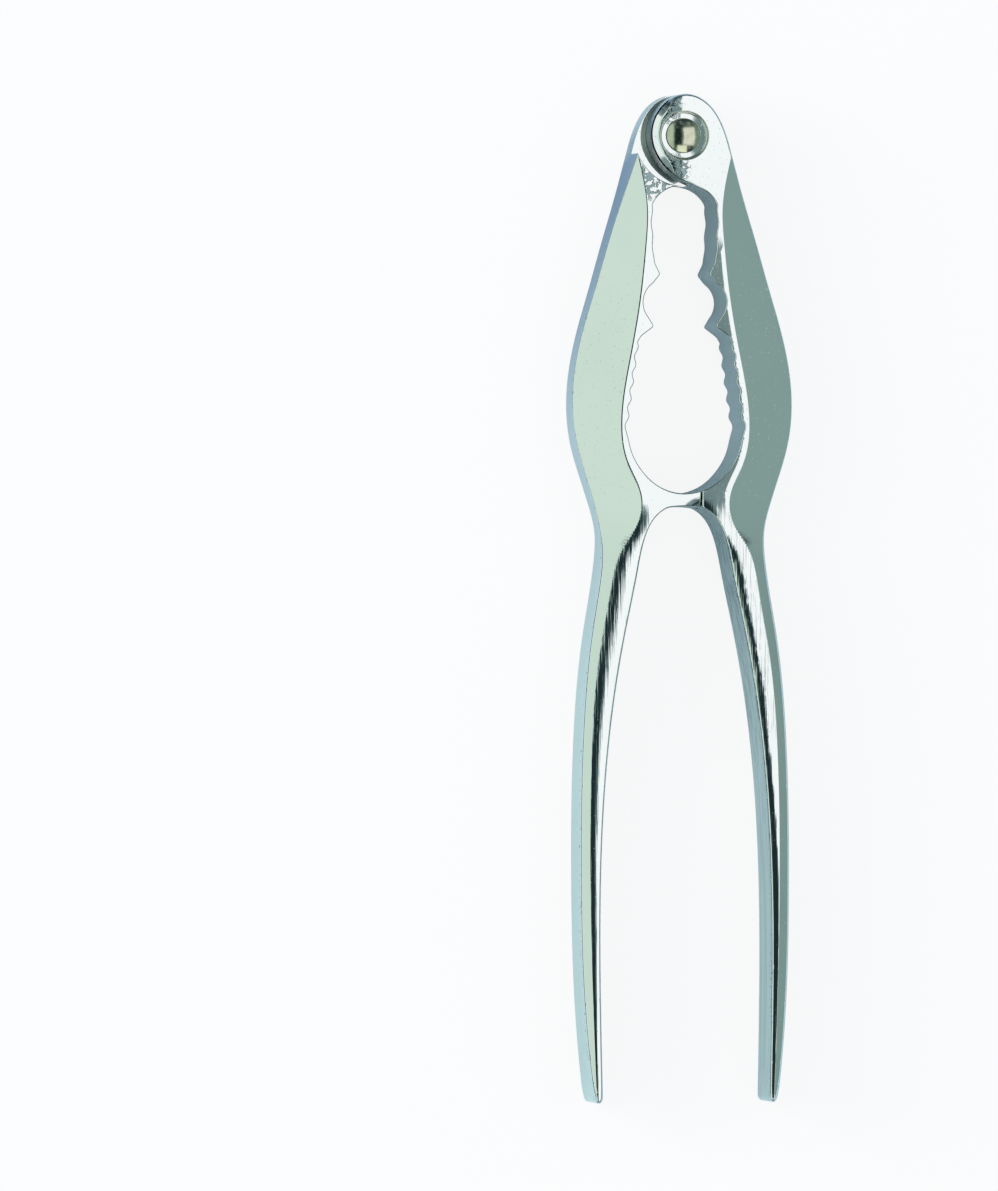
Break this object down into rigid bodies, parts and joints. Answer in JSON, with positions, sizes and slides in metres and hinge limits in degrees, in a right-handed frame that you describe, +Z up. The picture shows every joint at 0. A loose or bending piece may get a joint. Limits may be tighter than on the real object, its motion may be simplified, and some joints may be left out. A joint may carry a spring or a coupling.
{
  "type": "nut cracker",
  "caption": "Plier-type nut cracker: cast, plated levers lapped at a riveted pivot, with toothed nut bays, stop lugs and slim curved handles.",
  "frame": {"origin": "centre of the underside of the bounding box, with the cracker lying flat and closed", "axes": "+Y along the length from the handle ends to the pivot, +X towards the right lever, +Z up through the thickness, along the rivet"},
  "size_m": [0.0416, 0.1872, 0.012],
  "materials": {
    "plated_casting": "polished",
    "rivet_steel": "gloss"
  },
  "bodies": {
    "left_lever_body": {"left_lever": "plated_casting", "pivot_rivet": "rivet_steel"},
    "right_lever_body": {"right_lever": "plated_casting"}
  },
  "joints": [
    {"name": "jaw_hinge", "type": "hinge", "parent": "left_lever_body", "child": "right_lever_body", "pos_m": [0, 0.08582, 0.006], "axis": [0, 0, 1], "range_deg": [0, 215]}
  ]
}
